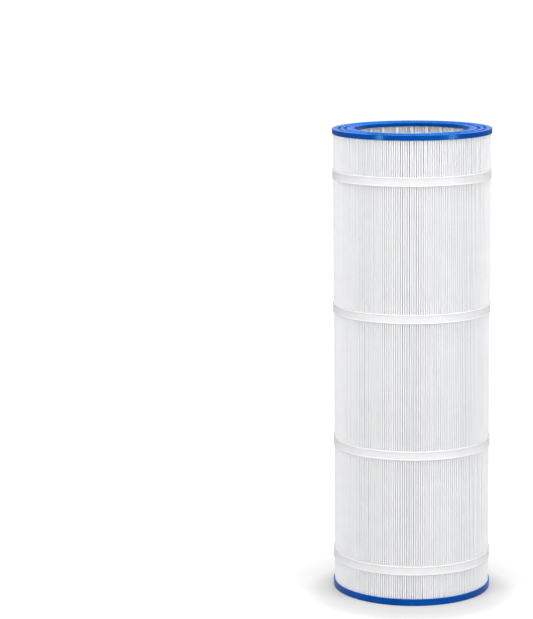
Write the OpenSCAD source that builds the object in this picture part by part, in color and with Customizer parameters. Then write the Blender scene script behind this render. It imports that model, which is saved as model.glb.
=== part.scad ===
// Pleated pool filter cartridge.
// Two cast end caps hold a folded media sheet that stands around a moulded
// cage core. Four straps go round the folds. Water passes through the folds
// into the core and leaves through the round passage in an end cap.
// Frame: +Z up along the cartridge axis, origin at the centre of the bottom
// face, millimetres.

/* [Overall size] */
// Outside diameter of the end caps
cap_d = 255.6; // [220:0.1:270]
// Height from the bottom face to the top face
total_h = 753.5; // [400:0.5:900]
// Diameter of the round passage through each end cap
bore_d = 182; // [150:0.5:190]

/* [End caps] */
// Height of the outer wall of the top cap
top_wall_h = 8.1; // [6:0.1:16]
// Height of the outer wall of the bottom cap
bottom_wall_h = 11; // [6:0.1:16]
// Depth of the top cap's pocket floor below its outer face
top_floor_h = 4; // [3.5:0.1:6]
// Depth of the bottom cap's pocket floor above its outer face
bottom_floor_h = 4.5; // [3.5:0.1:6]
// Height of the inner lip around the passage
lip_h = 6.5; // [5:0.1:10]
// Thickness of the inner lip
lip_t = 1.8; // [1.2:0.1:3]
// Thickness of the outer skirt
skirt_t = 1.8; // [1.2:0.1:3]
// Middle radius of the inner groove in the sealing face
inner_groove_r = 106.5; // [100:0.1:108]
// Middle radius of the outer groove in the sealing face
outer_groove_r = 116.4; // [113:0.1:119]
// Depth of the round grooves in the sealing face
seal_groove_h = 1.9; // [0.5:0.1:2.5]

/* [Pleated media] */
// Number of pleats around the cartridge
pleat_count = 218; // [120:1:240]
// Thickness of the media sheet
sheet_t = 0.6; // [0.3:0.05:1]
// Width of one outer fold
outer_fold_w = 2.4; // [1.8:0.05:2.8]
// Width of one inner fold
inner_fold_w = 1.44; // [1.3:0.05:2]
// Clear gap between two legs at the bottom of a fold
fold_gap = 0.24; // [0.1:0.02:0.4]
// How far the closing strip reaches up the two free edges, as a share of the pleat
seam_share = 0.45; // [0.2:0.05:0.8]

/* [Core] */
// Number of moulded core sections stacked end to end
core_sections = 5; // [3:1:8]
// Wall thickness of the core
core_t = 2.8; // [2:0.1:4]
// Number of upright bars in a section
core_bars = 24; // [12:1:36]
// Width of an upright bar
core_bar_w = 4.2; // [3:0.1:8]
// Number of window rows in a section
core_rows = 4; // [2:1:6]
// Height of the rings between window rows
core_ring_h = 3; // [2:0.1:6]
// Height of the end ring at the top of a section
core_top_ring_h = 3.2; // [2.8:0.1:8]
// Height of the end ring at the bottom of a section
core_bottom_ring_h = 3.4; // [2.8:0.1:8]
// Height of the tongue that seats in the next section
core_tongue_h = 1.2; // [0.8:0.1:1.6]

/* [Straps] */
// Height of a strap
strap_h = 15; // [10:0.5:20]
// Thickness of the strap between its edge beads
strap_t = 1.2; // [0.8:0.1:1.6]
// How far the edge beads stand out from the strap
strap_bead_t = 0.4; // [0.2:0.1:0.6]
// Height of an edge bead
strap_bead_h = 2.2; // [1.5:0.1:3]
// Height of the lower edge of the first strap, counted from the top
strap_1_z = 673.4; // [600:0.5:740]
// Height of the lower edge of the second strap
strap_2_z = 457.2; // [400:0.5:600]
// Height of the lower edge of the third strap
strap_3_z = 237.9; // [180:0.5:400]
// Height of the lower edge of the fourth strap
strap_4_z = 49.8; // [20:0.5:170]
// Length of the overlap where a strap's ends are welded
strap_lap = 24; // [12:1:40]

/* [Hidden] */
$fn = 180;
cap_r = cap_d / 2;
bore_r = bore_d / 2;
lip_r = bore_r + lip_t;
skirt_r = cap_r - skirt_t;
core_in_r = lip_r + 0.2;
core_out_r = core_in_r + core_t;
media_in_r = core_out_r + 0.2;
media_out_r = skirt_r - 0.1;
media_z0 = bottom_floor_h;
media_z1 = total_h - top_floor_h;
media_h = media_z1 - media_z0;
core_h = media_h / core_sections;
core_mid_r = (core_in_r + core_out_r) / 2;
pleat_a = 360 / pleat_count;
seam_a = 90;
edge_round = 0.9;

blue = [0.05, 0.33, 0.75];
sheet_white = [0.93, 0.93, 0.94];
strap_white = [0.96, 0.96, 0.97];
core_white = [0.90, 0.91, 0.92];
melt_white = [0.88, 0.88, 0.85];

// Section of an end cap with its sealing face down at z = 0. The face has
// three flat rings with two round grooves between them. The pocket behind it
// takes the ends of the core and of the folded sheet.
function cap_section(wall, floor_z) = [
    [bore_r, 2.2], [bore_r + 0.35, 1.1], [bore_r + 1.1, 0.35], [bore_r + 2.2, 0],
    [inner_groove_r - 2.3, 0], [inner_groove_r - 1.6, 0.4], [inner_groove_r - 1.1, seal_groove_h],
    [inner_groove_r + 1.1, seal_groove_h], [inner_groove_r + 1.8, 0.3], [inner_groove_r + 2.7, 0],
    [outer_groove_r - 1.8, 0], [outer_groove_r - 1.2, 0.3], [outer_groove_r - 0.8, seal_groove_h],
    [outer_groove_r + 0.8, seal_groove_h], [outer_groove_r + 1.4, 0.3], [outer_groove_r + 2, 0],
    [cap_r - edge_round, 0], [cap_r - 0.25, 0.25], [cap_r, edge_round],
    [cap_r, wall - 0.5], [cap_r - 0.5, wall], [skirt_r, wall], [skirt_r, floor_z],
    [core_mid_r + 0.5, floor_z], [core_mid_r + 0.5, floor_z - 1.4],
    [core_mid_r - 0.5, floor_z - 1.4], [core_mid_r - 0.5, floor_z],
    [lip_r, floor_z], [lip_r, lip_h - 0.4], [lip_r - 0.4, lip_h],
    [bore_r + 0.5, lip_h], [bore_r, lip_h - 0.5]
];

module end_cap(wall, floor_z) {
    rotate_extrude() polygon(cap_section(wall, floor_z));
}

module top_end_cap() {
    color(blue)
    translate([0, 0, total_h]) mirror([0, 0, 1]) end_cap(top_wall_h, top_floor_h);
}

module bottom_end_cap() {
    color(blue) end_cap(bottom_wall_h, bottom_floor_h);
}

// A point at radius r, moved sideways by s from the ray at angle a
function at(a, r, s) = [r * cos(a) - s * sin(a), r * sin(a) + s * cos(a)];

// The folded sheet seen from above is one long ribbon. Its outer face runs
// once round the cartridge through every fold, and its inner face runs back.
module pleated_media() {
    g = fold_gap / 2;
    wo = outer_fold_w / 2;
    wi = inner_fold_w / 2;
    t = sheet_t;
    a = pleat_a;
    outer_face = [for (k = [0 : pleat_count - 1])
        let (v0 = seam_a + k * a, v1 = seam_a + (k + 1) * a, c = v0 + a / 2)
        each [
            at(v0, k == 0 ? media_in_r : media_in_r + t, g),
            at(c, media_out_r - 0.5, -wo), at(c, media_out_r, -wo + 0.5),
            at(c, media_out_r, wo - 0.5), at(c, media_out_r - 0.5, wo),
            at(v1, k == pleat_count - 1 ? media_in_r : media_in_r + t, -g)
        ]];
    inner_face = [for (k = [pleat_count - 1 : -1 : 0])
        let (v0 = seam_a + k * a, v1 = seam_a + (k + 1) * a, c = v0 + a / 2)
        each [
            at(v1, media_in_r, -wi), at(c, media_out_r - t, wo - t),
            at(c, media_out_r - t, t - wo), at(v0, media_in_r, wi)
        ]];
    color(sheet_white)
    translate([0, 0, media_z0])
    linear_extrude(height = media_h) polygon(concat(outer_face, inner_face));
}

// The hot-melt strip that closes the sheet into a ring lies between its two
// free edges, along the whole height.
module media_seam_strip() {
    g = fold_gap / 2;
    wo = outer_fold_w / 2;
    p1 = at(seam_a, media_in_r, g);
    q1 = at(seam_a + pleat_a / 2, media_out_r - 0.5, -wo);
    p2 = at(seam_a, media_in_r, -g);
    q2 = at(seam_a - pleat_a / 2, media_out_r - 0.5, wo);
    color(melt_white)
    translate([0, 0, media_z0])
    linear_extrude(height = media_h)
    polygon([p1, p1 + (q1 - p1) * seam_share, p2 + (q2 - p2) * seam_share, p2]);
}

// One core section: a cage of rings and upright bars. A tongue under its
// bottom ring seats in the groove of the section below or of the bottom cap.
module core_section(i) {
    h = core_h;
    rows_h = h - core_bottom_ring_h - core_top_ring_h;
    pitch = (rows_h + core_ring_h) / core_rows;
    win_h = pitch - core_ring_h;
    step = 360 / core_bars;
    color(core_white)
    translate([0, 0, media_z0 + (i - 1) * h])
    difference() {
        rotate_extrude() polygon([
            [core_in_r, 0], [core_mid_r - 0.4, 0], [core_mid_r - 0.4, -core_tongue_h],
            [core_mid_r + 0.4, -core_tongue_h], [core_mid_r + 0.4, 0], [core_out_r, 0],
            [core_out_r, h], [core_mid_r + 0.5, h], [core_mid_r + 0.5, h - 1.4],
            [core_mid_r - 0.5, h - 1.4], [core_mid_r - 0.5, h], [core_in_r, h]]);
        for (r = [0 : core_rows - 1])
            translate([0, 0, core_bottom_ring_h + r * pitch])
            linear_extrude(height = win_h)
            for (k = [0 : core_bars - 1])
                rotate(k * step)
                polygon([
                    at(0, core_in_r - 2, core_bar_w / 2), at(0, core_out_r + 2, core_bar_w / 2),
                    at(step / 2, core_out_r + 3.5, 0),
                    at(step, core_out_r + 2, -core_bar_w / 2), at(step, core_in_r - 2, -core_bar_w / 2)
                ]);
    }
}
module core_section_1() { core_section(1); }
module core_section_2() { core_section(2); }
module core_section_3() { core_section(3); }
module core_section_4() { core_section(4); }
module core_section_5() { core_section(5); }

// A strap lies round the outer folds. Its two edges are thicker beads, and
// its ends overlap at the back.
module support_strap(z) {
    r0 = media_out_r;
    r1 = r0 + strap_t;
    r2 = r1 + strap_bead_t;
    b = strap_bead_h;
    h = strap_h;
    lap_a = strap_lap / r1 * 180 / PI;
    color(strap_white)
    translate([0, 0, z]) {
        rotate_extrude() polygon([
            [r0, 0], [r2 - 0.3, 0], [r2, 0.4], [r2, b - 0.5], [r1, b],
            [r1, h - b], [r2, h - b + 0.5], [r2, h - 0.4], [r2 - 0.3, h], [r0, h]]);
        rotate(seam_a - lap_a / 2)
        rotate_extrude(angle = lap_a) polygon([
            [r0 + 0.2, 0.6], [r2 + 0.2, 0.6], [r2 + 0.2, h - 0.6], [r0 + 0.2, h - 0.6]]);
    }
}
module support_strap_1() { support_strap(strap_1_z); }
module support_strap_2() { support_strap(strap_2_z); }
module support_strap_3() { support_strap(strap_3_z); }
module support_strap_4() { support_strap(strap_4_z); }

top_end_cap();
bottom_end_cap();
pleated_media();
media_seam_strip();
core_section_1();
core_section_2();
core_section_3();
core_section_4();
core_section_5();
support_strap_1();
support_strap_2();
support_strap_3();
support_strap_4();
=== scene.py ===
"""Pleated pool filter cartridge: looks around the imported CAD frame."""
import math

import bpy
import numpy as np
from mathutils import Matrix, Vector


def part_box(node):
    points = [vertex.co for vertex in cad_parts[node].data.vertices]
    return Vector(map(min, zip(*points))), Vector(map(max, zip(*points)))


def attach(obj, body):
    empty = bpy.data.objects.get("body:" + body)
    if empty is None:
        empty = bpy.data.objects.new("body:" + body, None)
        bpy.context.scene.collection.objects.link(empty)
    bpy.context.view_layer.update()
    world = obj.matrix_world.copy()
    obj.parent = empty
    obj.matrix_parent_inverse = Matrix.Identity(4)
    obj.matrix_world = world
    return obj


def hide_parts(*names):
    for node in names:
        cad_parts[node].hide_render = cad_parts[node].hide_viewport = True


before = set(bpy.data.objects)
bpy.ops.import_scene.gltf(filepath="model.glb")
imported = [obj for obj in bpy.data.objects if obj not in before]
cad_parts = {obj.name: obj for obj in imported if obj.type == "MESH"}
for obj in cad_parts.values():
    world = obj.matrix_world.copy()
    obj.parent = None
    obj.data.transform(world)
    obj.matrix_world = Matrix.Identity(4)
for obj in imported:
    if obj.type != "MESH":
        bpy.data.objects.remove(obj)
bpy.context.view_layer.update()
scene = bpy.context.scene


def box_m(node):
    lo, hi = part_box(node)
    return np.array(lo, float), np.array(hi, float)


TOP_LO, TOP_HI = box_m("top_end_cap")
BOT_LO, BOT_HI = box_m("bottom_end_cap")
H = TOP_HI[2]                    # full height
CAP_R = TOP_HI[0]                # outer radius of a cap
MED_LO, MED_HI = box_m("pleated_media")
R_OUT = max(MED_HI[0], -MED_LO[1])   # outer folds
BORE_R = 0.091
LIP_R = BORE_R + 0.0018
R_IN = 0.0960                    # inner folds
STRAPS = [box_m("support_strap_%d" % i) for i in range(1, 5)]

# ------------------------------------------------------------------ camera
F_PX = 2343.7
LONG = 619.0
PITCH, YAW, ROLL = math.radians(9.884), math.radians(-3.597), math.radians(-0.536)
UNIT = 0.1259
fw = Vector((math.sin(YAW) * math.cos(PITCH), math.cos(YAW) * math.cos(PITCH), -math.sin(PITCH)))
right = fw.cross(Vector((0, 0, 1))).normalized()
up = right.cross(fw)
r2 = right * math.cos(ROLL) + up * math.sin(ROLL)
u2 = up * math.cos(ROLL) - right * math.sin(ROLL)
cam_data = bpy.data.cameras.new("camera")
cam = bpy.data.objects.new("camera", cam_data)
scene.collection.objects.link(cam)
cam_data.sensor_fit = "AUTO"
cam_data.sensor_width = 36.0
cam_data.lens = F_PX / LONG * 36.0
cam_data.clip_start, cam_data.clip_end = 0.1, 200.0
m = Matrix.Identity(4)
for i in range(3):
    m[i][0], m[i][1], m[i][2] = r2[i], u2[i], -fw[i]
m[0][3], m[1][3], m[2][3] = 0.0, -29.728 * UNIT, 8.832 * UNIT
cam.matrix_world = m
scene.camera = cam

# ------------------------------------------------------------------ helpers


def new_mesh(name, verts, quads, smooth=True):
    """A mesh object from numpy arrays of vertices and quads."""
    me = bpy.data.meshes.new(name)
    nv, nq = len(verts), len(quads)
    me.vertices.add(nv)
    me.vertices.foreach_set("co", np.asarray(verts, np.float32).ravel())
    me.loops.add(nq * 4)
    me.loops.foreach_set("vertex_index", np.asarray(quads, np.int32).ravel())
    me.polygons.add(nq)
    me.polygons.foreach_set("loop_start", np.arange(0, nq * 4, 4, dtype=np.int32))
    me.polygons.foreach_set("use_smooth", np.full(nq, smooth))
    me.update(calc_edges=True)
    me.validate()
    ob = bpy.data.objects.new(name, me)
    scene.collection.objects.link(ob)
    return ob


def lathe(name, profile, segments, warp=None):
    """A closed ring: profile is a closed loop of (r, z), turned about Z."""
    prof = np.asarray(profile, float)
    a = np.linspace(0, 2 * math.pi, segments, endpoint=False)
    n = len(prof)
    r = np.repeat(prof[None, :, 0], segments, 0)
    z = np.repeat(prof[None, :, 1], segments, 0)
    aa = np.repeat(a[:, None], n, 1)
    if warp is not None:
        r, z = warp(aa, r, z)
    v = np.stack([r * np.cos(aa), r * np.sin(aa), z], -1).reshape(-1, 3)
    i = np.arange(segments)[:, None]
    j = np.arange(n)[None, :]
    i2, j2 = (i + 1) % segments, (j + 1) % n
    quads = np.stack([i * n + j, i2 * n + j, i2 * n + j2, i * n + j2], -1).reshape(-1, 4)
    return new_mesh(name, v, quads)


def round_corners(points, radii, steps=5):
    """Rounds the corners of a closed polyline of (r, z) points."""
    pts = [np.array(p, float) for p in points]
    out = []
    for k, p in enumerate(pts):
        rad = radii[k]
        a, b = pts[k - 1], pts[(k + 1) % len(pts)]
        if rad <= 0:
            out.append(p)
            continue
        da, db = a - p, b - p
        la, lb = np.linalg.norm(da), np.linalg.norm(db)
        da, db = da / la, db / lb
        d = min(rad, la * 0.45, lb * 0.45)
        for t in np.linspace(0, 1, steps):
            q = (1 - t) ** 2 * (p + da * d) + 2 * t * (1 - t) * p + t ** 2 * (p + db * d)
            out.append(q)
    return np.array(out)


def smooth_noise(rng, n, width):
    """Periodic random values with a given correlation width, unit deviation."""
    x = rng.standard_normal(n)
    k = np.arange(n)
    k = np.minimum(k, n - k)
    w = np.exp(-0.5 * (k / max(width, 1e-3)) ** 2)
    y = np.real(np.fft.ifft(np.fft.fft(x) * np.fft.fft(w)))
    return (y - y.mean()) / y.std()


# ------------------------------------------------------------------ nodes


class Mat:
    """A small helper to wire a material's nodes."""

    def __init__(self, name):
        self.m = bpy.data.materials.new(name)
        self.m.use_nodes = True
        self.t = self.m.node_tree
        self.t.nodes.clear()
        self.out = self.t.nodes.new("ShaderNodeOutputMaterial")
        self.bsdf = self.t.nodes.new("ShaderNodeBsdfPrincipled")
        self.link(self.bsdf.outputs[0], self.out.inputs["Surface"])

    def node(self, kind, **inputs):
        n = self.t.nodes.new(kind)
        for k, v in inputs.items():
            if hasattr(n, k):
                setattr(n, k, v)
        return n

    def link(self, a, b):
        self.t.links.new(a, b)

    def set(self, **values):
        for k, v in values.items():
            self.bsdf.inputs[k.replace("_", " ")].default_value = v

    def coords(self):
        if not hasattr(self, "_tc"):
            self._tc = self.node("ShaderNodeTexCoord").outputs["Object"]
        return self._tc

    def math(self, op, a, b=None, c=None, clamp=False):
        n = self.node("ShaderNodeMath", operation=op)
        n.use_clamp = clamp
        for k, v in enumerate((a, b, c)):
            if v is None:
                continue
            if isinstance(v, (int, float)):
                n.inputs[k].default_value = v
            else:
                self.link(v, n.inputs[k])
        return n.outputs[0]

    def split(self, vec):
        n = self.node("ShaderNodeSeparateXYZ")
        self.link(vec, n.inputs[0])
        return n.outputs

    def join(self, x, y, z):
        n = self.node("ShaderNodeCombineXYZ")
        for k, v in enumerate((x, y, z)):
            if isinstance(v, (int, float)):
                n.inputs[k].default_value = v
            else:
                self.link(v, n.inputs[k])
        return n.outputs[0]

    def polar(self, radius):
        """Object coordinates unrolled round the axis: arc length, radius, height."""
        x, y, z = self.split(self.coords())
        ang = self.math("ARCTAN2", x, self.math("MULTIPLY", y, -1.0))
        rad = self.math("SQRT", self.math("ADD", self.math("MULTIPLY", x, x), self.math("MULTIPLY", y, y)))
        return self.math("MULTIPLY", ang, radius), rad, z

    def mapping(self, vec, scale=(1, 1, 1), rot=(0, 0, 0)):
        n = self.node("ShaderNodeMapping")
        self.link(vec, n.inputs["Vector"])
        n.inputs["Scale"].default_value = scale
        n.inputs["Rotation"].default_value = rot
        return n.outputs[0]

    def noise(self, vec, scale, detail=3.0, rough=0.5, distort=0.0):
        n = self.node("ShaderNodeTexNoise")
        self.link(vec, n.inputs["Vector"])
        n.inputs["Scale"].default_value = scale
        n.inputs["Detail"].default_value = detail
        n.inputs["Roughness"].default_value = rough
        n.inputs["Distortion"].default_value = distort
        return n.outputs["Fac"]

    def voronoi(self, vec, scale, feature="F1", randomness=1.0):
        n = self.node("ShaderNodeTexVoronoi")
        n.feature = feature
        self.link(vec, n.inputs["Vector"])
        n.inputs["Scale"].default_value = scale
        n.inputs["Randomness"].default_value = randomness
        return n.outputs["Distance"]

    def ramp(self, fac, stops):
        n = self.node("ShaderNodeValToRGB")
        self.link(fac, n.inputs[0])
        el = n.color_ramp.elements
        while len(el) < len(stops):
            el.new(0.5)
        for e, (pos, col) in zip(el, stops):
            e.position = pos
            e.color = (*col, 1.0) if len(col) == 3 else col
        return n.outputs[0]

    def remap(self, v, a, b, c, d):
        n = self.node("ShaderNodeMapRange")
        self.link(v, n.inputs[0])
        for k, x in enumerate((a, b, c, d)):
            n.inputs[k + 1].default_value = x
        return n.outputs[0]

    def bump(self, height, distance, strength=1.0, normal=None):
        n = self.node("ShaderNodeBump")
        self.link(height, n.inputs["Height"])
        n.inputs["Distance"].default_value = distance
        n.inputs["Strength"].default_value = strength
        if normal is not None:
            self.link(normal, n.inputs["Normal"])
        return n.outputs[0]


# ------------------------------------------------------------------ materials


def sheet_material():
    """White spunbond polyester: a web of fine filaments, cloudy, with small bond points."""
    k = Mat("filter_sheet")
    s, r, z = k.polar(R_OUT)
    flat = k.join(s, k.math("MULTIPLY", r, 1.0), z)
    webs = []
    for rot, stretch in ((0.5, 0.10), (-0.9, 0.12), (1.35, 0.09)):
        v = k.mapping(flat, scale=(1.0, 1.0, stretch), rot=(0.0, rot, 0.0))
        webs.append(k.noise(v, 2600.0, 2.0, 0.55, 0.3))
    web = k.math("MAXIMUM", k.math("MAXIMUM", webs[0], webs[1]), webs[2])
    cloud = k.noise(flat, 55.0, 4.0, 0.6)
    broad = k.noise(flat, 9.0, 2.0, 0.5)
    tone = k.math("ADD", k.math("MULTIPLY", cloud, 0.6), k.math("MULTIPLY", broad, 0.4))
    # bond points in a fine diamond grid
    u = k.math("ADD", k.math("MULTIPLY", s, 700.0), k.math("MULTIPLY", z, 700.0))
    w = k.math("SUBTRACT", k.math("MULTIPLY", s, 700.0), k.math("MULTIPLY", z, 700.0))
    fu = k.math("ABSOLUTE", k.math("SUBTRACT", k.math("FRACT", u), 0.5))
    fv = k.math("ABSOLUTE", k.math("SUBTRACT", k.math("FRACT", w), 0.5))
    dot = k.remap(k.math("ADD", fu, fv), 0.12, 0.28, 0.0, 1.0)
    col = k.ramp(tone, [(0.30, SHEET_DARK), (0.70, SHEET_LIGHT)])
    # painted light: the folds inside the core are made lighter than the outer folds, fading out between radii 98 and
    # 112 mm
    inner_painted_light = k.node("ShaderNodeVectorMath", operation="SCALE")
    k.link(col, inner_painted_light.inputs[0])
    k.link(k.remap(r, 0.098, 0.112, SHEET_INNER_PAINTED_LIGHT, 1.0), inner_painted_light.inputs["Scale"])
    k.link(inner_painted_light.outputs[0], k.bsdf.inputs["Base Color"])
    rough = k.remap(web, 0.35, 0.75, 0.92, 0.78)
    k.link(rough, k.bsdf.inputs["Roughness"])
    b1 = k.bump(cloud, 0.0006, 0.35)
    b2 = k.bump(dot, 0.00005, 0.5, b1)
    b3 = k.bump(web, 0.00006, 0.6, b2)
    k.link(b3, k.bsdf.inputs["Normal"])
    k.set(Specular_IOR_Level=0.15, Sheen_Weight=0.04, Sheen_Roughness=0.5)
    k.set(Subsurface_Weight=SHEET_SSS, Subsurface_Scale=0.0016)
    k.bsdf.inputs["Subsurface Radius"].default_value = (1.0, 0.95, 0.9)
    return k.m


def strap_material():
    """White plastic strap: fine moulded ribs along it, a faint grain, slight sheen."""
    k = Mat("strap_plastic")
    s, r, z = k.polar(R_OUT)
    flat = k.join(s, r, z)
    grain = k.noise(k.mapping(flat, scale=(0.25, 1, 1)), 900.0, 3.0, 0.6)
    cloud = k.noise(flat, 40.0, 3.0, 0.5)
    # painted shade: the web between the beads gets a darker colour than the beads, standing in for the shade the beads
    # cast on it
    web = k.ramp(cloud, [(0.3, (0.725, 0.725, 0.735)), (0.7, (0.77, 0.77, 0.78))])
    bead = k.ramp(cloud, [(0.3, (0.83, 0.83, 0.84)), (0.7, (0.87, 0.87, 0.88))])
    web_shade_pick = k.node("ShaderNodeMix", data_type="RGBA")
    k.link(k.remap(r, R_OUT + 0.00124, R_OUT + 0.00136, 0.0, 1.0), web_shade_pick.inputs["Factor"])
    k.link(web, web_shade_pick.inputs["A"])
    k.link(bead, web_shade_pick.inputs["B"])
    k.link(web_shade_pick.outputs["Result"], k.bsdf.inputs["Base Color"])
    k.link(k.remap(grain, 0.3, 0.7, 0.38, 0.52), k.bsdf.inputs["Roughness"])
    k.link(k.bump(grain, 0.00008, 0.5), k.bsdf.inputs["Normal"])
    k.set(Specular_IOR_Level=0.45)
    return k.m


def cap_material(name, dark, light, rough_lo, rough_hi, ior):
    """Cast blue polyurethane: satin gloss, faint flow marks, tiny pits and scuffs."""
    k = Mat(name)
    s, r, z = k.polar(CAP_R)
    flow = k.noise(k.mapping(k.join(s, r, z), scale=(0.22, 1, 1)), 60.0, 3.0, 0.5, 0.4)
    mottle = k.noise(k.coords(), 150.0, 3.0, 0.6)
    broad = k.noise(k.coords(), 11.0, 2.0, 0.5, 0.5)
    tone = k.math("ADD", k.math("MULTIPLY", flow, 0.35), k.math("MULTIPLY", mottle, 0.20))
    tone = k.math("ADD", tone, k.math("MULTIPLY", broad, 0.45))
    k.link(k.ramp(tone, [(0.38, dark), (0.62, light)]), k.bsdf.inputs["Base Color"])
    scuff = k.noise(k.mapping(k.join(s, r, z), scale=(0.12, 1, 1)), 700.0, 2.0, 0.6)
    rough = k.math("ADD", k.remap(tone, 0.35, 0.65, rough_lo, rough_hi), k.remap(scuff, 0.55, 0.75, 0.0, 0.10))
    k.link(rough, k.bsdf.inputs["Roughness"])
    pits = k.remap(k.voronoi(k.coords(), 420.0), 0.02, 0.16, 0.0, 1.0)
    b1 = k.bump(flow, 0.0012, 0.25)
    b2 = k.bump(pits, 0.00012, 0.3, b1)
    k.link(b2, k.bsdf.inputs["Normal"])
    k.set(IOR=ior, Specular_IOR_Level=0.5)
    k.bsdf.inputs["Specular Tint"].default_value = (0.15, 0.68, 1.0, 1.0)
    return k.m


def core_material():
    """Moulded white plastic of the core, with a fine mould grain."""
    k = Mat("core_plastic")
    grain = k.noise(k.coords(), 1100.0, 3.0, 0.6)
    cloud = k.noise(k.coords(), 35.0, 3.0, 0.5)
    col = k.ramp(cloud, [(0.3, (0.85, 0.855, 0.86)), (0.7, (0.90, 0.905, 0.91))])
    k.link(col, k.bsdf.inputs["Base Color"])
    k.link(k.remap(grain, 0.3, 0.7, 0.40, 0.58), k.bsdf.inputs["Roughness"])
    k.link(k.bump(grain, 0.00006, 0.5), k.bsdf.inputs["Normal"])
    k.set(Specular_IOR_Level=0.45)
    return k.m


def melt_material():
    """Waxy hot-melt of the sheet's seam."""
    k = Mat("hot_melt")
    blob = k.noise(k.coords(), 180.0, 4.0, 0.6, 0.6)
    fine = k.noise(k.coords(), 900.0, 2.0, 0.5)
    col = k.ramp(blob, [(0.3, (0.72, 0.70, 0.62)), (0.7, (0.82, 0.81, 0.74))])
    k.link(col, k.bsdf.inputs["Base Color"])
    k.link(k.remap(fine, 0.3, 0.7, 0.28, 0.45), k.bsdf.inputs["Roughness"])
    k.link(k.bump(blob, 0.0008, 0.5), k.bsdf.inputs["Normal"])
    k.set(Specular_IOR_Level=0.5, Subsurface_Weight=0.2, Subsurface_Scale=0.002)
    return k.m


SHEET_DARK, SHEET_LIGHT = (0.832, 0.833, 0.844), (0.880, 0.881, 0.892)
SHEET_INNER_PAINTED_LIGHT = 1.10      # the inner folds are painted lighter, a painted light that lifts the shade inside the core
SHEET_SSS = 0.4
CAP_FACE_DARK, CAP_FACE_LIGHT = (0.0015, 0.105, 0.52), (0.010, 0.215, 0.84)
# painted shade: the wall colours are a darker copy of the face blue, for the shade on the vertical walls, the bore and
# the grooves
CAP_WALL_SHADE_DARK, CAP_WALL_SHADE_LIGHT = (0.0003, 0.047, 0.26), (0.0006, 0.072, 0.36)

FLOOR_GLOW_AND_SHADOW = [(0.122, 0.19), (0.150, 0.27), (0.176, 0.43), (0.244, 0.52), (0.50, 0.55), (3.0, 0.77), (9.0, 0.93)]   # radius, glow for the camera; lowest beside the base, a painted contact shadow
FLOOR_ALBEDO = 0.46
WORLD_LOW, WORLD_HIGH, WORLD_FRONT, WORLD_BEHIND = 0.34, 0.62, 1.64, 0.22
SOFT_SIDE, SOFT_OVER, SOFT_BACK, CARD = 12.2, 4.4, 4.2, 0.72

MAT_SHEET = sheet_material()
MAT_STRAP = strap_material()
MAT_CAP_FACE = cap_material("cap_urethane_face", CAP_FACE_DARK, CAP_FACE_LIGHT, 0.24, 0.32, 1.30)
MAT_CAP_WALL_PAINTED_SHADE = cap_material("cap_urethane_wall_painted_shade", CAP_WALL_SHADE_DARK, CAP_WALL_SHADE_LIGHT, 0.15, 0.23, 1.41)
MAT_CORE = core_material()
MAT_MELT = melt_material()


def dress(ob, mat):
    ob.data.materials.clear()
    ob.data.materials.append(mat)


# ------------------------------------------------------------------ pleated sheet
PLEATS = 218
PITCH_A = 2 * math.pi / PLEATS
SHEET_T = 0.00055
SEAM_A = math.pi / 2
MM = 0.001
TIP_W = 2.72       # width of an outer fold, mm
TIP_SPREAD = 0.10  # how much that width varies
TIP_SHIFT = 0.12   # how far a fold sits from its even place, mm
SPAN_SHIFT = 0.09  # how far it wanders between two straps, mm
TIP_FLAT = 0.78    # an outer fold is a little flatter than a half circle
IN_W = 2.25        # width of an inner fold, mm
GAP_MIN = 0.06

Z_LO, Z_HI = MED_LO[2], MED_HI[2]
_stops = [BOT_HI[2]]
for _lo, _hi in reversed(STRAPS):
    _stops += [_lo[2], _hi[2]]
_stops.append(TOP_LO[2])
SPANS = [(_stops[i], _stops[i + 1]) for i in range(0, len(_stops), 2)]


class Folds:
    """Where each outer fold stands at a height, as a shift along the arc in metres."""

    def __init__(self):
        rng = np.random.default_rng(20)
        n = PLEATS
        k = np.arange(n)
        self.fade = np.minimum(np.minimum(k, n - 1 - k) / 3.0, 1.0)   # regular beside the seam
        w = TIP_W + TIP_SPREAD * rng.standard_normal(n)
        w = np.clip(w, 2.5, 3.2) * self.fade + 2.4 * (1 - self.fade)
        self.w_tip = w * MM
        self.place = TIP_SHIFT * (0.8 * rng.standard_normal(n) + 0.5 * smooth_noise(rng, n, 1.2)) * MM
        self.span = []
        for i in range(len(SPANS)):
            amp = SPAN_SHIFT * (1.5 if i == len(SPANS) - 1 else 1.0)
            self.span.append(amp * (0.8 * rng.standard_normal(n) + 0.6 * smooth_noise(rng, n, 1.0)) * MM)
        self.cap = [0.12 * rng.standard_normal(n) * MM, 0.22 * rng.standard_normal(n) * MM]
        self.bow = rng.standard_normal((2, n)) * 0.10 * MM * self.fade
        self.r_tip = R_OUT - 0.10 * MM - 0.07 * MM * np.abs(rng.standard_normal(n)) * self.fade
        self.place_in = 0.10 * rng.standard_normal(n) * MM * self.fade

    def at(self, z):
        d = self.place.copy()
        if z <= SPANS[0][0] + 1e-6:
            d += self.cap[0]
        if z >= SPANS[-1][1] - 1e-6:
            d += self.cap[1]
        for i, (a, b) in enumerate(SPANS):
            if a < z < b:
                t = (z - a) / (b - a)
                d = d + self.span[i] * math.sin(math.pi * t) ** 0.8
                if i == 0:
                    d = d + self.cap[0] * (1 - t)
                if i == len(SPANS) - 1:
                    d = d + self.cap[1] * t
        d = d * self.fade
        w = self.w_tip
        # folds may lean on each other, but never cross
        for _ in range(60):
            gap = R_OUT * PITCH_A + np.roll(d, -1) - d - (w + np.roll(w, -1)) / 2
            gap[-1] = 1.0
            short = np.clip(GAP_MIN * MM - gap, 0, None)
            if short.max() < 1e-6:
                break
            d = d - short * 0.5 + np.roll(short, 1) * 0.5
        return d


FOLDS = Folds()


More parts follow.
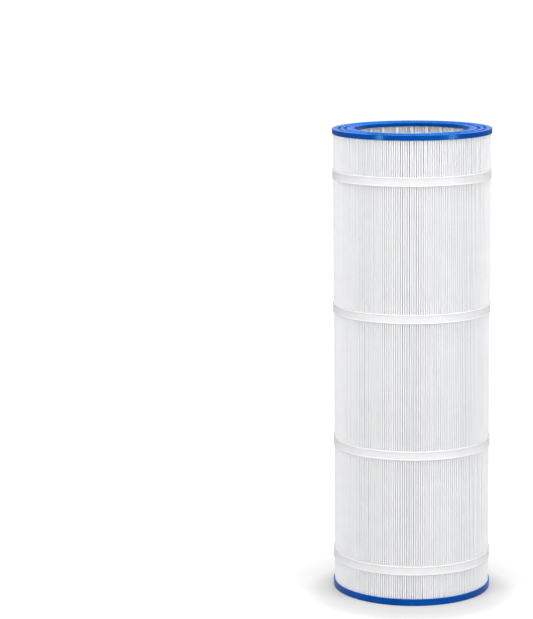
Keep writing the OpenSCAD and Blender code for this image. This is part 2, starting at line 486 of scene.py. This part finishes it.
def sheet_levels():
    steps = [1] * len(SPANS)
    for i, (a, b) in enumerate(SPANS):
        steps[i] = 3 if b - a > 0.1 else (2 if i == len(SPANS) - 1 else 1)
    levels = [Z_LO]
    for (a, b), n in zip(SPANS, steps):
        levels += list(np.linspace(a, b, n + 1))
    levels.append(Z_HI)
    return np.array(levels)


def make_sheet():
    n = PLEATS
    k = np.arange(n)
    levels = sheet_levels()
    hi_ = (IN_W * MM - SHEET_T) / 2
    ho = (FOLDS.w_tip - SHEET_T) / 2
    r_in = R_IN + 0.00002 + SHEET_T / 2
    ci = r_in + hi_ * 0.8
    co = FOLDS.r_tip - SHEET_T / 2 - ho * TIP_FLAT
    al_out = np.radians([-90, -56, -19, 19, 56, 90])

    def put(a, r, s):
        return np.stack([r * np.cos(a) - s * np.sin(a), r * np.sin(a) + s * np.cos(a)], -1)

    def middle(p, q, b):
        nrm = np.stack([-(q - p)[:, 1], (q - p)[:, 0]], -1)
        nrm /= np.linalg.norm(nrm, axis=1)[:, None]
        return (p + q) / 2 + nrm * b[:, None]

    rings = []
    for z in levels:
        d = FOLDS.at(z)
        tip_a = SEAM_A + (k + 0.5) * PITCH_A + d / R_OUT
        val_a = SEAM_A + k * PITCH_A + FOLDS.place_in / R_IN
        nxt_a = np.append(val_a[1:], SEAM_A + 2 * math.pi)
        in_r = np.full(n, r_in)
        pts = [put(val_a, in_r, np.full(n, hi_ * 0.42)), put(val_a, np.full(n, ci), np.full(n, hi_))]
        q = put(tip_a, co, -ho)
        pts.append(middle(pts[-1], q, FOLDS.bow[0]))
        for t in al_out:
            pts.append(put(tip_a, co + ho * TIP_FLAT * math.cos(t), ho * math.sin(t)))
        e = put(nxt_a, np.full(n, ci), np.full(n, -hi_))
        pts.append(middle(pts[-1], e, FOLDS.bow[1]))
        pts += [e, put(nxt_a, in_r, np.full(n, -hi_ * 0.42))]
        line = np.stack(pts, 1)
        # the two free edges run straight down beside the seam
        g = 0.00012 + SHEET_T / 2
        line[0, 0] = put(np.array([SEAM_A]), np.array([R_IN + 0.0001]), np.array([g]))[0]
        line[0, 1] = line[0, 0] + (q[0] - line[0, 0]) * 0.12
        line[0, 2] = line[0, 0] + (q[0] - line[0, 0]) * 0.5
        last = put(np.array([SEAM_A]), np.array([R_IN + 0.0001]), np.array([-g]))[0]
        s0 = line[-1, -4]
        line[-1, -1] = last
        line[-1, -2] = last + (s0 - last) * 0.12
        line[-1, -3] = last + (s0 - last) * 0.5
        rings.append(line.reshape(-1, 2))
    line = np.stack(rings)                  # level, point, xy
    mid = line[len(line) // 2]
    length = float(np.linalg.norm(np.diff(mid, axis=0), axis=1).sum())
    seg = line[:, 1:] - line[:, :-1]
    seg /= np.linalg.norm(seg, axis=2)[..., None]
    tang = np.empty_like(line)
    tang[:, 1:-1] = seg[:, 1:] + seg[:, :-1]
    tang[:, 0] = seg[:, 0]
    tang[:, -1] = seg[:, -1]
    cosine = np.ones(line.shape[:2])
    cosine[:, 1:-1] = np.linalg.norm(tang[:, 1:-1], axis=2) / 2
    tang /= np.linalg.norm(tang, axis=2)[..., None]
    nrm = np.stack([tang[..., 1], -tang[..., 0]], -1)
    half = (SHEET_T / 2 / np.clip(cosine, 0.75, 1.0))[..., None]
    L, M = line.shape[:2]
    zz = np.repeat(levels[:, None, None], M, 1)
    verts = np.concatenate([
        np.concatenate([line + nrm * half, zz], -1).reshape(-1, 3),
        np.concatenate([line - nrm * half, zz], -1).reshape(-1, 3)])
    base = L * M
    l = np.arange(L - 1)[:, None]
    i = np.arange(M - 1)[None, :]
    a = l * M + i
    outer = np.stack([a, a + 1, a + M + 1, a + M], -1).reshape(-1, 4)
    inner = np.stack([a, a + M, a + M + 1, a + 1], -1).reshape(-1, 4) + base
    i1 = np.arange(M - 1)
    bottom = np.stack([i1, i1 + base, i1 + 1 + base, i1 + 1], -1)
    t0 = (L - 1) * M
    top = np.stack([t0 + i1, t0 + i1 + 1, t0 + i1 + 1 + base, t0 + i1 + base], -1)
    l1 = np.arange(L - 1) * M
    e0 = np.stack([l1, l1 + M, l1 + M + base, l1 + base], -1)
    l2 = l1 + M - 1
    e1 = np.stack([l2, l2 + base, l2 + M + base, l2 + M], -1)
    quads = np.concatenate([outer, inner, bottom, top, e0, e1])
    ob = new_mesh("pleated_filter_sheet", verts, quads)
    return ob, length, Z_HI - Z_LO


sheet, sheet_len, sheet_h = make_sheet()
dress(sheet, MAT_SHEET)
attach(sheet, "root")
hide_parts("pleated_media")
print("sheet: %.3f m by %.3f m, %d vertices, %d faces" % (sheet_h, sheet_len, len(sheet.data.vertices), len(sheet.data.polygons)))

# ------------------------------------------------------------------ straps


def strap_profile(h):
    """Closed section of a strap, r from the pleats out, z from its lower edge."""
    r0 = R_OUT - 0.02 * MM
    r1, r2_ = R_OUT + 1.08 * MM, R_OUT + 1.56 * MM
    b = 2.3 * MM
    r3 = r2_ - 0.14 * MM
    pts = [(r0, 0.0), (r3 - 0.35 * MM, 0.0), (r3 - 0.10 * MM, 0.2 * MM), (r3, 0.6 * MM),
           (r3 - 0.02 * MM, b - 0.9 * MM), (r3 - 0.18 * MM, b - 0.2 * MM), (r1, b + 0.4 * MM)]
    for t in (0.25, 0.5, 0.75):
        pts.append((r1, b + (h - 2 * b) * t))
    pts += [(r1, h - b), (r2_ - 0.25 * MM, h - b + 0.3 * MM), (r2_ - 0.02 * MM, h - b + 0.9 * MM), (r2_, h - 0.7 * MM),
            (r2_ - 0.12 * MM, h - 0.2 * MM), (r2_ - 0.45 * MM, h), (r0, h)]
    return np.array(pts)


def make_strap(i):
    lo, hi = STRAPS[i]
    h = hi[2] - lo[2]
    rng = np.random.default_rng(60 + i)
    prof = strap_profile(h)
    prof[:, 1] += lo[2]
    # four stations for each fold: its crest, its two flanks and the gap after it
    d = FOLDS.at((lo[2] + hi[2]) / 2)
    crest = SEAM_A + (np.arange(PLEATS) + 0.5) * PITCH_A + d / R_OUT
    after = np.append(crest[1:], crest[0] + 2 * math.pi)
    w = FOLDS.w_tip / R_OUT
    flank = crest + w * 0.36
    gap = (crest + w / 2 + after - np.append(w[1:], w[0]) / 2) / 2
    before = after - np.append(w[1:], w[0]) * 0.36
    ang = np.stack([crest, flank, gap, before], 1).reshape(-1)
    lift = np.tile([1.0, 0.25, -1.0, 0.25], PLEATS)
    lift = lift * np.repeat(np.clip(1.0 + 0.35 * rng.standard_normal(PLEATS), 0.2, 1.8), 4)
    seg = len(ang)
    wander = smooth_noise(rng, seg, seg / 40) * 0.00005
    edge = smooth_noise(rng, seg, seg / 14) * 0.00012
    n = len(prof)
    r = np.repeat(prof[None, :, 0], seg, 0)
    z = np.repeat(prof[None, :, 1], seg, 0)
    outer = r > R_OUT
    flat = np.abs(r - (R_OUT + 1.08 * MM)) < 1e-6
    r = r + lift[:, None] * np.where(flat, 0.09 * MM, 0.02 * MM) * outer + wander[:, None] * outer
    z = z + edge[:, None] * ((z - lo[2]) / h - 0.5) * 0.6
    v = np.stack([r * np.cos(ang)[:, None], r * np.sin(ang)[:, None], z], -1).reshape(-1, 3)
    ii = np.arange(seg)[:, None]
    jj = np.arange(n)[None, :]
    i2, j2 = (ii + 1) % seg, (jj + 1) % n
    quads = np.stack([ii * n + jj, i2 * n + jj, i2 * n + j2, ii * n + j2], -1).reshape(-1, 4)
    ob = new_mesh("strap_%d" % (i + 1), v, quads)
    # the welded overlap at the back
    r_in, r_out = R_OUT + 1.0e-3, R_OUT + 1.78e-3
    half = 0.024 / R_OUT / 2
    na, nz = 25, 9
    aa = np.linspace(-half, half, na) + SEAM_A
    zz = np.linspace(lo[2] + 0.0006, hi[2] - 0.0006, nz)
    A, Z = np.meshgrid(aa, zz, indexing="ij")
    e = np.minimum(1 - np.abs((A - SEAM_A) / half), 1 - np.abs((Z - (lo[2] + hi[2]) / 2) / ((zz[-1] - zz[0]) / 2)))
    lift = np.clip(e / 0.12, 0, 1) ** 0.5
    weld = 0.00018 * (np.abs(np.sin((A - SEAM_A) / half * 9)) ** 6) * (np.abs((A - SEAM_A) / half) < 0.7)
    Ro = r_in + (r_out - r_in) * lift - weld
    v = np.concatenate([
        np.stack([Ro * np.cos(A), Ro * np.sin(A), Z], -1).reshape(-1, 3),
        np.stack([r_in * np.cos(A), r_in * np.sin(A), Z], -1).reshape(-1, 3)])
    b = na * nz
    q = []
    for x in range(na - 1):
        for y in range(nz - 1):
            a0 = x * nz + y
            q.append((a0, a0 + nz, a0 + nz + 1, a0 + 1))
            q.append((a0 + b, a0 + 1 + b, a0 + nz + 1 + b, a0 + nz + b))
    for x in range(na - 1):
        for y in (0, nz - 1):
            a0 = x * nz + y
            q.append((a0, a0 + b, a0 + nz + b, a0 + nz) if y == 0 else (a0, a0 + nz, a0 + nz + b, a0 + b))
    for y in range(nz - 1):
        for x in (0, na - 1):
            a0 = x * nz + y
            q.append((a0, a0 + 1, a0 + 1 + b, a0 + b) if x == 0 else (a0, a0 + b, a0 + 1 + b, a0 + 1))
    lap = new_mesh("strap_lap_%d" % (i + 1), v, np.array(q))
    dress(ob, MAT_STRAP)
    dress(lap, MAT_STRAP)
    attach(ob, "root")
    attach(lap, "root")
    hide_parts("support_strap_%d" % (i + 1))
    return ob


straps = [make_strap(i) for i in range(4)]

# ------------------------------------------------------------------ end caps


def cap_profile(wall, floor_z):
    """Section of an end cap with its sealing face at z = 0, in millimetres."""
    c = CAP_R * 1000
    b = BORE_R * 1000
    lip = LIP_R * 1000
    skirt = c - 1.8
    gi, go, gd = 106.5, 116.4, 1.9
    pts = [(b, 1.3, 0.5), (b + 0.25, 0.65, 0.4), (b + 0.7, 0.2, 0.4), (b + 1.6, 0.0, 0.6),
           (gi - 2.7, 0.0, 0.3), (gi - 2.0, 0.35, 0.3), (gi - 1.6, gd, 0.3), (gi + 1.6, gd, 0.3),
           (gi + 2.1, 0.3, 0.3), (gi + 2.9, 0.0, 0.4),
           (go - 2.1, 0.0, 0.3), (go - 1.6, 0.3, 0.3), (go - 1.3, gd, 0.3), (go + 1.3, gd, 0.3),
           (go + 1.7, 0.3, 0.3), (go + 2.3, 0.0, 0.4),
           (c - 0.9, 0.0, 0.5), (c - 0.25, 0.25, 0.4), (c, 0.9, 0.5),
           (c, wall, 0.5), (skirt, wall, 0.3), (skirt, wall - 1.4, 0.4),
           (lip + 3.3, wall - 1.6, 0.3), (lip + 3.3, floor_z, 0.0),
           (lip, floor_z, 0.0), (lip, 6.5, 0.5), (b, 6.5, 0.5)]
    prof = round_corners([(p[0], p[1]) for p in pts], [p[2] for p in pts], 5)
    # extra points along the long flats so that the casting can wave a little
    dense = []
    for i in range(len(prof)):
        a, d = prof[i], prof[(i + 1) % len(prof)]
        n = max(1, int(np.linalg.norm(d - a) / 2.2))
        for t in range(n):
            dense.append(a + (d - a) * t / n)
    dense = np.array(dense)
    for r0, r1, drop in ((b + 1.6, gi - 2.7, 0.22), (gi + 2.9, go - 2.1, 0.14), (go + 2.3, c - 0.9, 0.20)):
        t = (dense[:, 0] - (r0 + r1) / 2) / ((r1 - r0) / 2)
        on = (np.abs(t) <= 1.0) & (dense[:, 1] < 0.05)
        dense[on, 1] += drop * t[on] ** 4
    return dense * 0.001


def make_cap(name, wall, floor_z, top):
    rng = np.random.default_rng(91 if top else 92)
    prof = cap_profile(wall, floor_z)
    seg = 360
    wave = smooth_noise(rng, seg, 9) * 0.00005
    wave_r = smooth_noise(rng, seg, 14) * 0.00004

    def warp(a, r, z):
        k = np.arange(seg)[:, None]
        on_face = np.clip(1 - z / 0.004, 0, 1)
        z = z + np.abs(wave[k]) * on_face * (r < CAP_R - 0.004)
        r = np.where(r > CAP_R - 0.0003, r - np.abs(wave_r[k]), r)
        if top:
            z = H - z
        return r, z

    ob = lathe(name, prof, seg, warp)
    if top:
        ob.data.flip_normals()
    return ob


top_cap = make_cap("top_cap_casting", (TOP_HI[2] - TOP_LO[2]) * 1000, 4.0, True)
bot_cap = make_cap("bottom_cap_casting", (BOT_HI[2] - BOT_LO[2]) * 1000, 4.5, False)
for ob, node in ((top_cap, "top_end_cap"), (bot_cap, "bottom_end_cap")):
    dress(ob, MAT_CAP_FACE)
    ob.data.materials.append(MAT_CAP_WALL_PAINTED_SHADE)
    # the outer wall, the bore wall and the grooves came off the steel of the mould, and are glossier; they are also
    # painted a darker blue than the face, a painted shade for the vertical walls and the recessed grooves
    co = np.empty(len(ob.data.vertices) * 3)
    ob.data.vertices.foreach_get("co", co)
    rr = np.hypot(co[0::3], co[1::3])
    idx = np.empty(len(ob.data.loops), np.int32)
    ob.data.loops.foreach_get("vertex_index", idx)
    deep = (H - co[2::3]) if ob is top_cap else co[2::3]
    rr, deep = rr[idx].reshape(-1, 4), deep[idx].reshape(-1, 4)
    glossy_and_shaded = (rr.min(1) > CAP_R - 0.0007) | (rr.max(1) < BORE_R + 0.0004)
    glossy_and_shaded |= (deep.mean(1) > 0.00035) & (rr.min(1) > 0.102) & (rr.max(1) < 0.121)
    ob.data.polygons.foreach_set("material_index", glossy_and_shaded.astype(np.int32))
    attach(ob, "root")
    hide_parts(node)


for i in range(1, 6):
    dress(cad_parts["core_section_%d" % i], MAT_CORE)
dress(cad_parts["media_seam_strip"], MAT_MELT)

# ------------------------------------------------------------------ stage and light
floor_mesh = bpy.data.meshes.new("floor")
S = 80.0
floor_mesh.from_pydata([(-S, -S, 0), (S, -S, 0), (S, S, 0), (-S, S, 0)], [], [(0, 1, 2, 3)])
floor = bpy.data.objects.new("floor", floor_mesh)
scene.collection.objects.link(floor)
floor.location.z = -0.0002
fm = Mat("floor_lit_sweep")
fm.set(Specular_IOR_Level=0.0)
fx, fy, fz = fm.split(fm.coords())
fy = fm.math("ADD", fy, 0.04)
f_rad = fm.math("SQRT", fm.math("ADD", fm.math("MULTIPLY", fx, fx), fm.math("MULTIPLY", fy, fy)))
f_path = fm.node("ShaderNodeLightPath")
# painted shadow: the glow seen by the camera is dimmest beside the base and rises outward, a painted contact shadow
# round the cartridge
f_glow_and_shadow = fm.remap(f_rad, FLOOR_GLOW_AND_SHADOW[0][0], FLOOR_GLOW_AND_SHADOW[1][0], FLOOR_GLOW_AND_SHADOW[0][1], FLOOR_GLOW_AND_SHADOW[1][1])
for (_r0, _g0), (_r1, _g1) in zip(FLOOR_GLOW_AND_SHADOW[1:-1], FLOOR_GLOW_AND_SHADOW[2:]):
    f_glow_and_shadow = fm.math("ADD", f_glow_and_shadow, fm.remap(f_rad, _r0, _r1, 0.0, _g1 - _g0))
fm.link(fm.math("MULTIPLY", f_glow_and_shadow, f_path.outputs["Is Camera Ray"]),
        fm.bsdf.inputs["Emission Strength"])
fm.bsdf.inputs["Base Color"].default_value = (FLOOR_ALBEDO, FLOOR_ALBEDO, FLOOR_ALBEDO, 1)
fm.bsdf.inputs["Emission Color"].default_value = (1, 1, 1, 1)
fm.bsdf.inputs["Roughness"].default_value = 0.9
dress(floor, fm.m)

# the room: dim overhead light for the object, plain white behind it for the camera
world = bpy.data.worlds.new("studio")
scene.world = world
world.use_nodes = True
wt = world.node_tree
wt.nodes.clear()
wo = wt.nodes.new("ShaderNodeOutputWorld")
w_light = wt.nodes.new("ShaderNodeBackground")
w_back = wt.nodes.new("ShaderNodeBackground")
w_mix = wt.nodes.new("ShaderNodeMixShader")
w_path = wt.nodes.new("ShaderNodeLightPath")
w_tc = wt.nodes.new("ShaderNodeTexCoord")
w_sep = wt.nodes.new("ShaderNodeSeparateXYZ")
w_ramp = wt.nodes.new("ShaderNodeValToRGB")
wt.links.new(w_tc.outputs["Generated"], w_sep.inputs[0])
wt.links.new(w_sep.outputs[2], w_ramp.inputs[0])
el = w_ramp.color_ramp.elements
el[0].position, el[0].color = 0.05, (WORLD_LOW, WORLD_LOW, WORLD_LOW, 1)
el[1].position, el[1].color = 0.75, (WORLD_HIGH, WORLD_HIGH, WORLD_HIGH, 1)
wt.links.new(w_ramp.outputs[0], w_light.inputs[0])
w_side = wt.nodes.new("ShaderNodeMapRange")         # the room is darker behind the object
for _k, _v in enumerate((-0.8, 0.2, WORLD_FRONT, WORLD_BEHIND)):
    w_side.inputs[_k + 1].default_value = _v
wt.links.new(w_sep.outputs[1], w_side.inputs[0])
wt.links.new(w_side.outputs[0], w_light.inputs[1])
w_back.inputs[0].default_value = (1, 1, 1, 1)
wt.links.new(w_path.outputs["Is Camera Ray"], w_mix.inputs[0])
wt.links.new(w_light.outputs[0], w_mix.inputs[1])
wt.links.new(w_back.outputs[0], w_mix.inputs[2])
wt.links.new(w_mix.outputs[0], wo.inputs["Surface"])


def area(name, loc, target, size, radiance):
    d = bpy.data.lights.new(name, "AREA")
    d.shape = "RECTANGLE"
    d.size, d.size_y = size
    d.energy = radiance * math.pi * size[0] * size[1]
    o = bpy.data.objects.new(name, d)
    scene.collection.objects.link(o)
    o.location = loc
    o.rotation_mode = "QUATERNION"
    o.rotation_quaternion = (Vector(target) - Vector(loc)).to_track_quat("-Z", "Y")
    o.visible_camera = False
    return o


def at(azimuth, distance, height):
    a = math.radians(azimuth)
    return (math.sin(a) * distance, -math.cos(a) * distance, height)


area("softbox_left", at(-45.6, 2.2, 0.98), (0, 0, 0.60), (0.32, 1.9), SOFT_SIDE)
area("softbox_right", at(58.4, 2.2, 0.98), (0, 0, 0.60), (0.40, 1.9), SOFT_SIDE * 0.85)
area("softbox_over", (0.0, -0.20, 2.9), (0, -0.20, 0.4), (2.0, 2.2), SOFT_OVER * 1.1)
# fill for the far side, kept out of the reflections in the caps
_o = area("softbox_back", (0.3, 2.6, 1.05), (0, 0, 0.45), (1.0, 1.6), SOFT_BACK)
_o.visible_glossy = False
# two low cards behind the cartridge, mirrored in the ends of the top ring
for _side, _x in (("left", -0.235), ("right", 0.24)):
    _o = area("card_" + _side, (_x, 0.45, 0.99), (_x, 0.0, 0.99), (0.29, 0.36), CARD)
    _o.visible_diffuse = False

scene.view_settings.view_transform = "Standard"
scene.view_settings.look = "None"
scene.view_settings.exposure = 0.0
scene.view_settings.gamma = 1.0
